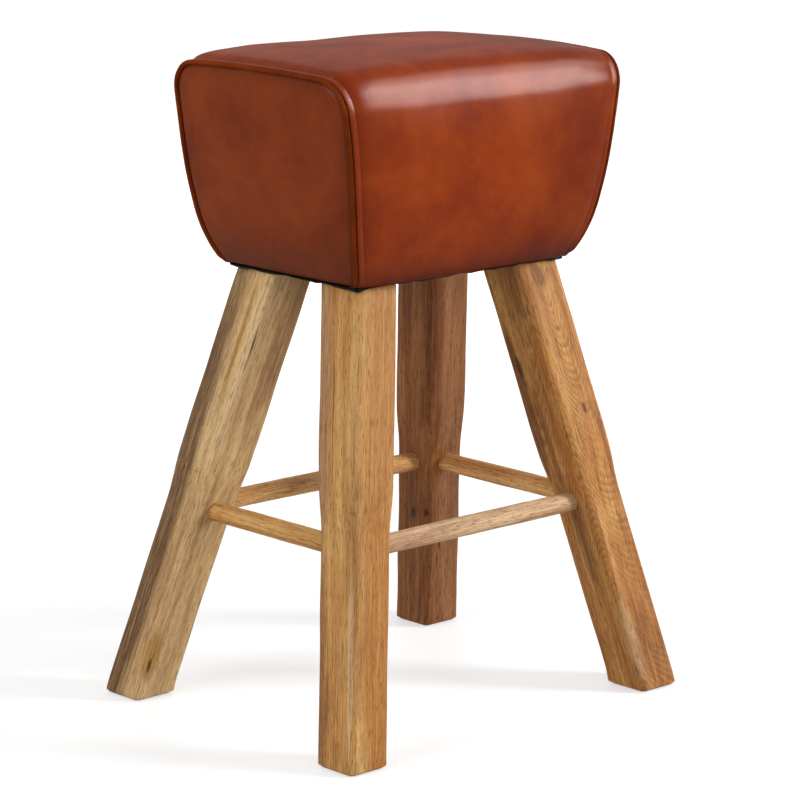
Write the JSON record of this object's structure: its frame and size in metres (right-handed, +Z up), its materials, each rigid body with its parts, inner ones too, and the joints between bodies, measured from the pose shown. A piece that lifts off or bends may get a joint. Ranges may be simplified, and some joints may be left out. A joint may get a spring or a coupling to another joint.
{
  "type": "bar stool",
  "caption": "Bar stool with a flared, piped leather seat block on splayed square wooden legs joined low down by round rails.",
  "frame": {"origin": "on the floor, in the middle of the four feet", "axes": "+Z up, +X along the long side of the seat, -Y towards its front long side"},
  "size_m": [0.543, 0.4378, 0.7799],
  "materials": {
    "plywood": "plain birch plywood",
    "batten_wood": "sawn softwood",
    "leg_wood": "oiled hand-worked hardwood with strong grain",
    "rail_wood": "oiled hand-rounded hardwood",
    "screw_steel": "bright zinc-plated steel",
    "black_cloth": "plain black non-woven cloth",
    "foam": "upholstery foam",
    "end_leather": "burnished brown leather, semi-gloss",
    "piping_leather": "burnished brown leather cord",
    "wrap_leather": "burnished tan-brown leather, semi-gloss"
  },
  "bodies": {
    "root": {"seat_board": "plywood", "top_board": "plywood", "end_board_left": "plywood", "end_board_right": "plywood", "side_board_front": "plywood", "side_board_back": "plywood", "corner_block_front_left": "batten_wood", "corner_block_front_right": "batten_wood", "corner_block_back_left": "batten_wood", "corner_block_back_right": "batten_wood", "leg_front_left": "leg_wood", "leg_front_right": "leg_wood", "leg_back_left": "leg_wood", "leg_back_right": "leg_wood", "rail_front": "rail_wood", "rail_back": "rail_wood", "rail_left": "rail_wood", "rail_right": "rail_wood", "coach_screws": "screw_steel", "screw_washers": "screw_steel", "dust_cover": "black_cloth", "foam_wrap": "foam", "foam_end_left": "foam", "foam_end_right": "foam", "leather_end_left": "end_leather", "leather_end_right": "end_leather", "piping_left": "piping_leather", "piping_right": "piping_leather", "leather_wrap": "wrap_leather"}
  },
  "joints": []
}
